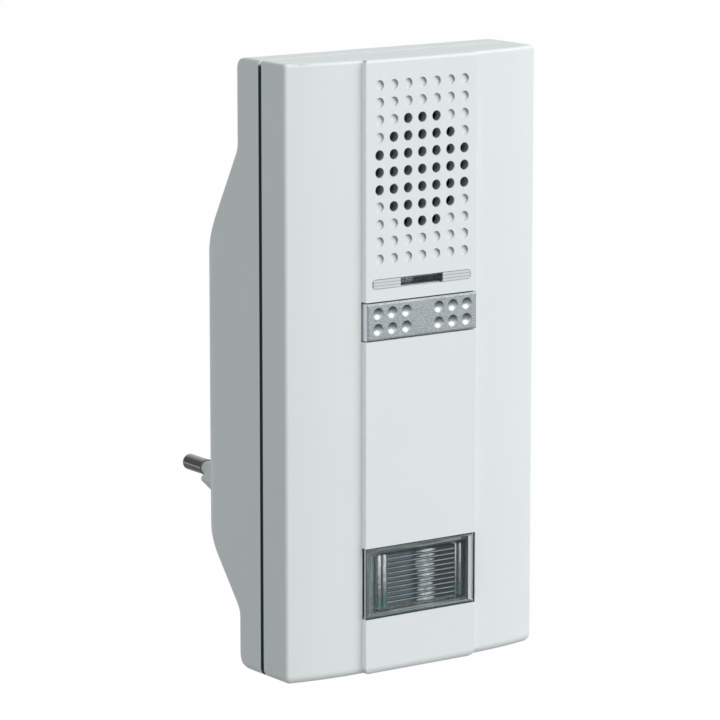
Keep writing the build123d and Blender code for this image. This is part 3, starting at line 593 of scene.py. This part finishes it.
# Light bar: clear ends laid on white and a clear window in its middle, let into the front. The
# ends have fine lines along them and a dark left edge of painted shade.
barValues = {
    "depth": 1.2, "gap": 0.1, "endRound": 0.5, "endSteps": 4, "windowHalf": 5.9, "sunk": 0.05,
    "linePitch": 0.74, "lineLevels": (0.8, 0.97), "leftEdge": 13.62, "leftSoft": 0.06,
    "colour": (0.66, 0.7, 0.71), "lineColour": (0.36, 0.41, 0.43), "edgeShade": 0.4,
    "haze": (900.0, 3.0), "roughness": 0.16, "spread": 0.08, "coat": 0.6,
    "coatRoughness": 0.05, "bump": (0.3, 0.05),
}


def linedClear(name, v):
    s = newShader(name)
    wave = (s.axis("Z") * (math.tau / (v["linePitch"] * mm))).sine()
    line = s.ramp(wave * 0.5 + 0.5, *v["lineLevels"])
    leftEdgeShade = s.below(s.axis("X"), -v["leftEdge"], v["leftSoft"])
    paint = s.blend(line, v["colour"], v["lineColour"])
    return s.close(s.principled({
        "Base Color": s.blend(leftEdgeShade, paint, scaled(v["lineColour"], v["edgeShade"])),
        "Roughness": around(v["roughness"], v["spread"], s.noise(*v["haze"])),
        "Coat Weight": v["coat"],
        "Coat Roughness": v["coatRoughness"],
        "Normal": s.bump(line, *v["bump"])}))


def makeBar(v):
    gap = v["gap"]
    window = v["windowHalf"]
    face = barLow.y + v["sunk"]
    ends = bmesh.new()
    for side in (-1, 1):
        near, far = sorted((side * (window + gap), side * (barHigh.x - gap)))
        addBox(ends, (near, face, barLow.z + gap), (far, barLow.y + v["depth"], barHigh.z - gap))
    roundEdges(ends, lambda a, b: abs(a.co.y - b.co.y) > v["depth"] / 2
               and abs(a.co.x) > 2 * window, v["endRound"], v["endSteps"])
    finishPiece(ends, "barEnds", "root", "light_bar", finishes["barEnds"])
    middle = bmesh.new()
    addBox(middle, (-window, face, barLow.z + 3 * gap), (window, barHigh.y, barHigh.z - 3 * gap))
    finishPiece(middle, "barWindow", "root", "light_bar", finishes["clearBar"])


metalValues = {
    "streaks": (2600.0, 3.0), "patches": (90.0, 4.0), "darker": 0.82, "spread": 0.12,
    "bump": (0.1, 0.02),
}


# Bare metal: the brush draws its streaks out along an axis
def plainMetal(name, colour, roughness=0.3, metallic=1.0, brush=(1.0, 1.0, 1.0)):
    v = metalValues
    s = newShader(name)
    streaks = s.noise(*v["streaks"], s.place(brush))
    return s.close(s.principled({
        "Base Color": s.blend(s.noise(*v["patches"]), scaled(colour, v["darker"]), colour),
        "Metallic": metallic,
        "Roughness": around(roughness, v["spread"], streaks),
        "Normal": s.bump(streaks, *v["bump"])}))


rubberValues = {
    "grain": (2400.0, 4.0), "patches": (160.0, 3.0), "lighter": 1.35, "lift": 0.004,
    "spread": 0.16, "bump": (0.25, 0.03),
}


def rubberFinish(name, colour, roughness=0.75, litTopColour=None):
    v = rubberValues
    s = newShader(name)
    grain = s.noise(*v["grain"])
    lighter = tuple(c * v["lighter"] + v["lift"] for c in colour)
    paint = s.blend(s.noise(*v["patches"]), colour, lighter)
    # Painted light: the rubber is pale along the top, where light falls into the seam
    if litTopColour:
        paint = s.blend(belowTop(s), litTopColour, paint)
    return s.close(s.principled({
        "Base Color": paint,
        "Roughness": around(roughness, v["spread"], grain),
        "Normal": s.bump(grain, *v["bump"])}))


# Speaker paper: pressed fibres show as fine streaks
paperValues = {
    "fibre": (1900.0, 6.0), "levels": (0.35, 0.7), "colour": (0.1, 0.15, 0.16), "lighter": 1.9,
    "roughness": 0.875, "spread": 0.15, "bump": (0.5, 0.08),
}


def pulpPaper(name, v):
    s = newShader(name)
    fibre = s.noise(*v["fibre"])
    streak = s.ramp(fibre, *v["levels"])
    return s.close(s.principled({
        "Base Color": s.blend(streak, v["colour"], scaled(v["colour"], v["lighter"])),
        "Roughness": around(v["roughness"], v["spread"], fibre),
        "Normal": s.bump(fibre, *v["bump"])}))


# Circuit board: lacquer over copper tracks that run up and across, as a brick wall's joints do
boardValues = {
    "scale": 190.0, "offset": 0.5, "trackWidth": 0.06, "field": (0.12, 0.12, 0.12),
    "trackShare": 0.6, "patches": (500.0, 3.0), "roughness": 0.4, "spread": 0.2,
    "bump": (0.3, 0.05),
}
black = (0.0, 0.0, 0.0)
white = (1.0, 1.0, 1.0)


def circuitBoard(name, lacquer, track):
    v = boardValues
    s = newShader(name)
    lines = s.add("ShaderNodeTexBrick", {"offset": v["offset"]}, {
        "Vector": s.place(), "Scale": v["scale"], "Mortar Size": v["trackWidth"],
        "Color1": black, "Color2": v["field"], "Mortar": white})
    return s.close(s.principled({
        "Base Color": s.blend(lines * v["trackShare"], lacquer, track),
        "Roughness": around(v["roughness"], v["spread"], s.noise(*v["patches"])),
        "Normal": s.bump(lines, *v["bump"])}))


# Enamelled wire wound round an upright axis. A wave texture of scale 1 has bands 0.31 m apart.
wireValues = {
    "pitch": 0.35, "bandPitch": 0.31, "wobble": 0.3, "detail": 1.0, "colour": (0.72, 0.34, 0.16),
    "darker": 0.35, "metallic": 0.7, "roughness": 0.375, "spread": 0.15, "bump": (0.5, 0.1),
}


def woundWire(name, v):
    s = newShader(name)
    turns = s.add("ShaderNodeTexWave", {"wave_type": "BANDS", "bands_direction": "Z"}, {
        "Vector": s.place(), "Scale": v["bandPitch"] / (v["pitch"] * mm),
        "Distortion": v["wobble"], "Detail": v["detail"]})
    return s.close(s.principled({
        "Base Color": s.blend(turns, scaled(v["colour"], v["darker"]), v["colour"]),
        "Metallic": v["metallic"],
        "Roughness": around(v["roughness"], v["spread"], turns),
        "Normal": s.bump(turns, *v["bump"])}))


# Sintered ferrite: dark pits in a grain whose tops are lighter and smoother
ferriteValues = {
    "grain": (1500.0, 5.0), "levels": (0.4, 0.55), "lighter": 1.5, "roughness": 0.65,
    "spread": -0.2, "bump": (0.3, 0.05),
}


def ferriteFinish(name, colour):
    v = ferriteValues
    s = newShader(name)
    tops = s.ramp(s.noise(*v["grain"]), *v["levels"])
    return s.close(s.principled({
        "Base Color": s.blend(tops, colour, scaled(colour, v["lighter"])),
        "Roughness": around(v["roughness"], v["spread"], tops),
        "Normal": s.bump(tops, *v["bump"])}))


caseWhite = (0.80, 0.825, 0.825)
finishes = {
    "whiteBack": mouldedPlastic("whiteBack", caseWhite, 0.42, paintedLightAndShade=(
        (seamRimShade, (0.03, 0.07, 0.085)),)),
    "whiteCover": mouldedPlastic("whiteCover", caseWhite, 0.42, paintedLightAndShade=(
        (dimpleShade, (0.4, 0.46, 0.5)), (throughHoleShade, (0.25, 0.34, 0.36)),
        (spineWallLight, (0.96, 0.98, 0.98)))),
    "whiteSleeve": mouldedPlastic("whiteSleeve", (0.78, 0.79, 0.79), 0.5),
    "seamRubber": rubberFinish("seamRubber", (0.012, 0.04, 0.052), litTopColour=(0.72, 0.75, 0.76)),
    "foamRing": rubberFinish("foamRing", (0.02, 0.021, 0.022), 0.95),
    "screwSteel": plainMetal("screwSteel", (0.55, 0.56, 0.58), 0.32),
    "clearLens": clearMoulding("clearLens", (0.94, 0.96, 0.965), (0.82, 0.87, 0.88), 0.975,
                               drawn=lensPicture),
    "barEnds": linedClear("barEnds", barValues),
    "clearBar": clearMoulding("clearBar", (0.9, 0.96, 1.0), (0.85, 0.93, 0.97), 1.0),
    "frostedRib": frostedPlastic("frostedRib", frostedValues),
    "frameEdge": streakedPlastic("frameEdge", sillValues),
    "ledResin": mouldedPlastic("ledResin", (0.05, 0.065, 0.075), 0.25),
    "silverKey": silverLacquer("silverKey", keyValues),
    "switchPlastic": mouldedPlastic("switchPlastic", (0.03, 0.03, 0.032), 0.5),
    "lampGlass": clearMoulding("lampGlass", (0.96, 0.98, 1.0), (0.9, 0.94, 0.96), 0.7),
    "lampMetal": plainMetal("lampMetal", (0.72, 0.72, 0.71), 0.35),
    "brightTrough": plainMetal("brightTrough", (0.27, 0.33, 0.37), 0.22, 0.75),
    "speakerSteel": plainMetal("speakerSteel", (0.06, 0.06, 0.065), 0.45, 0.6),
    "speakerRubber": rubberFinish("speakerRubber", (0.018, 0.018, 0.02)),
    "speakerPaper": pulpPaper("speakerPaper", paperValues),
    "copperWire": woundWire("copperWire", wireValues),
    "magnetFerrite": ferriteFinish("magnetFerrite", (0.07, 0.07, 0.075)),
    "coreFerrite": ferriteFinish("coreFerrite", (0.05, 0.05, 0.055)),
    "tagBoard": mouldedPlastic("tagBoard", (0.35, 0.22, 0.11), 0.6),
    "leadSleeve": mouldedPlastic("leadSleeve", (0.5, 0.04, 0.03), 0.5),
    "greenBoard": circuitBoard("greenBoard", (0.002, 0.035, 0.024), (0.006, 0.075, 0.045)),
    "tanBoard": circuitBoard("tanBoard", (0.42, 0.29, 0.13), (0.5, 0.36, 0.18)),
    "chipEpoxy": mouldedPlastic("chipEpoxy", (0.02, 0.02, 0.022), 0.55),
    "tinnedCan": plainMetal("tinnedCan", (0.66, 0.67, 0.66), 0.28),
    "contactBrass": plainMetal("contactBrass", (0.78, 0.58, 0.26), 0.3),
    "bobbinNylon": mouldedPlastic("bobbinNylon", (0.75, 0.72, 0.6), 0.5),
    "canSleeve": mouldedPlastic("canSleeve", (0.02, 0.025, 0.06), 0.3),
    "resistorLacquer": mouldedPlastic("resistorLacquer", (0.2, 0.33, 0.28), 0.4),
    "nickelPin": plainMetal("nickelPin", (0.26, 0.25, 0.235), 0.13, brush=(1.0, 0.05, 1.0)),
}

nodeFinish = {
    "front_cover": "whiteCover", "rear_case": "whiteBack", "parting_gasket": "seamRubber",
    "case_screws": "screwSteel", "light_bar": "clearBar", "indicator_led": "ledResin",
    "key_bar": "silverKey", "key_switches": "switchPlastic", "flash_lens": "clearLens",
    "flash_tube": "lampGlass", "tube_caps": "lampMetal", "flash_reflector": "brightTrough",
    "speaker_gasket": "foamRing", "speaker_basket": "speakerSteel",
    "speaker_surround": "speakerRubber", "speaker_cone": "speakerPaper",
    "speaker_dust_cap": "speakerPaper", "voice_coil": "copperWire",
    "speaker_magnet": "magnetFerrite", "speaker_yoke": "speakerSteel", "speaker_tag": "tagBoard",
    "speaker_leads": "leadSleeve", "speaker_screws": "screwSteel", "main_board": "greenBoard",
    "main_board_screws": "screwSteel", "control_chips": "chipEpoxy",
    "receiver_board": "greenBoard", "receiver_can": "tinnedCan", "antenna_wire": "copperWire",
    "link_header": "chipEpoxy", "link_pins": "contactBrass", "power_board": "tanBoard",
    "power_board_screws": "screwSteel", "transformer_core": "coreFerrite",
    "transformer_bobbin": "bobbinNylon", "transformer_winding": "copperWire",
    "flash_capacitor": "canSleeve", "filter_capacitors": "canSleeve",
    "rectifier_diodes": "chipEpoxy", "fuse_resistor": "resistorLacquer",
    "trigger_coil": "bobbinNylon", "plug_pins": "nickelPin", "pin_sleeves": "whiteSleeve",
    "pin_contacts": "contactBrass",
}
for nodeName, finishName in nodeFinish.items():
    nodes[nodeName].data.materials.clear()
    nodes[nodeName].data.materials.append(finishes[finishName])
print("materials on", len(nodeFinish), "nodes")

makeLens(lensValues)
makeBar(barValues)
print("lens and light bar")


# Camera, fitted to the photograph: it stands left of the part and a little above it
cameraValues = {
    "place": (-543.7, -813.8, 211.4), "lens": 203.15, "sensor": 36.0,
    "down": 10.643, "turn": -35.188, "near": 50.0, "far": 20000.0,
}


def makeCamera(v):
    data = bpy.data.cameras.new("camera")
    data.lens = v["lens"]
    data.sensor_width = v["sensor"]
    data.clip_start = v["near"] * mm
    data.clip_end = v["far"] * mm
    camera = bpy.data.objects.new("camera", data)
    camera.location = Vector(v["place"]) * mm
    camera.rotation_euler = (math.radians(90.0 - v["down"]), 0.0, math.radians(v["turn"]))
    bpy.context.scene.collection.objects.link(camera)
    bpy.context.scene.camera = camera


# Floor, room and lamp, in metres. The room is brighter on one side, with a light panel at the
# upper right.
studioValues = {
    "floorSize": 8.0, "floorDrop": 0.30, "floorColour": (0.42, 0.43, 0.43),
    "floorRoughness": 0.8, "shown": 0.99, "viewAxis": (0.575, 0.818, 0.0),
    "floorWhite": (0.3, 0.8), "roomWhite": (0.5, 0.85), "dim": 0.277, "bright": 0.9,
    "towardsBright": (-0.32, -0.91, -0.26), "lit": (-0.5, 0.9),
    "dimColour": (0.88, 1.0, 0.985), "brightColour": (0.985, 0.975, 1.0),
    "towardsPanel": (0.9, -0.15, 0.42), "panel": 1.25, "panelEdge": (0.8, 0.94),
    "keyDirection": (0.46, -0.75, 0.55), "keyDistance": 2.4, "keySize": 2.2, "keyLevel": 0.51,
    "centre": (0.0, -0.045, 0.037),
}


# How far a place or a direction lies towards another direction
def towards(s, where, direction):
    return s.add("ShaderNodeVectorMath", {"operation": "DOT_PRODUCT"}, {
        0: where, 1: tuple(Vector(direction).normalized())}, "Value")


# The backdrop is white to the eye, and to mirrors and through glass where it stands behind the part
def whiteToView(s, where, axis, reach):
    forward = towards(s, where, axis)
    camera, glossy, through = [s.add("ShaderNodeLightPath", output=name) for name in (
        "Is Camera Ray", "Is Glossy Ray", "Is Transmission Ray")]
    return camera.orMore(glossy.orMore(through) * s.between(forward, *reach, "SMOOTHSTEP"))


def makeFloor(v):
    s = newShader("floorPaint")
    where = s.add("ShaderNodeTexCoord", output="Object")
    seen = whiteToView(s, where, v["viewAxis"], v["floorWhite"])
    paint = s.principled({"Base Color": v["floorColour"], "Roughness": v["floorRoughness"]})
    glow = s.add("ShaderNodeEmission", inputs={"Color": white, "Strength": 1.0})
    bm = bmesh.new()
    bmesh.ops.create_grid(bm, x_segments=1, y_segments=1, size=v["floorSize"] / 2)
    bmesh.ops.translate(bm, verts=bm.verts, vec=(0.0, 0.0, -v["floorDrop"]))
    mesh = bpy.data.meshes.new("floor")
    bm.to_mesh(mesh)
    bm.free()
    mesh.materials.append(s.close(s.mixed(seen * v["shown"], paint, glow)))
    floor = bpy.data.objects.new("floor", mesh)
    bpy.context.scene.collection.objects.link(floor)


def makeRoom(v):
    world = bpy.data.worlds.new("studio")
    bpy.context.scene.world = world
    s = Shader(world)
    looking = s.add("ShaderNodeTexCoord", output="Generated")
    lit = s.between(towards(s, looking, v["towardsBright"]), *v["lit"], "SMOOTHSTEP")
    panel = s.between(towards(s, looking, v["towardsPanel"]), *v["panelEdge"], "SMOOTHSTEP")
    level = v["dim"] + (v["bright"] - v["dim"]) * lit + v["panel"] * panel
    room = s.add("ShaderNodeBackground", inputs={
        "Color": s.blend(lit, v["dimColour"], v["brightColour"]), "Strength": level})
    backdrop = s.add("ShaderNodeBackground", inputs={"Color": white, "Strength": 1.0})
    seen = whiteToView(s, looking, v["viewAxis"], v["roomWhite"])
    s.close(s.mixed(seen, room, backdrop), "ShaderNodeOutputWorld")


# A round lamp whose energy grows with the square of its distance, so that its level holds
def makeLamp(v):
    direction = Vector(v["keyDirection"]).normalized()
    lamp = bpy.data.lights.new("keyLamp", "AREA")
    lamp.shape = "DISK"
    lamp.size = v["keySize"]
    lamp.energy = v["keyLevel"] * math.pi ** 2 * v["keyDistance"] ** 2
    key = bpy.data.objects.new("keyLamp", lamp)
    key.location = Vector(v["centre"]) + direction * v["keyDistance"]
    key.rotation_euler = direction.to_track_quat("Z", "Y").to_euler()
    bpy.context.scene.collection.objects.link(key)


makeCamera(cameraValues)
makeFloor(studioValues)
makeRoom(studioValues)
makeLamp(studioValues)
bpy.context.scene.view_settings.view_transform = "Standard"
print("camera and studio")
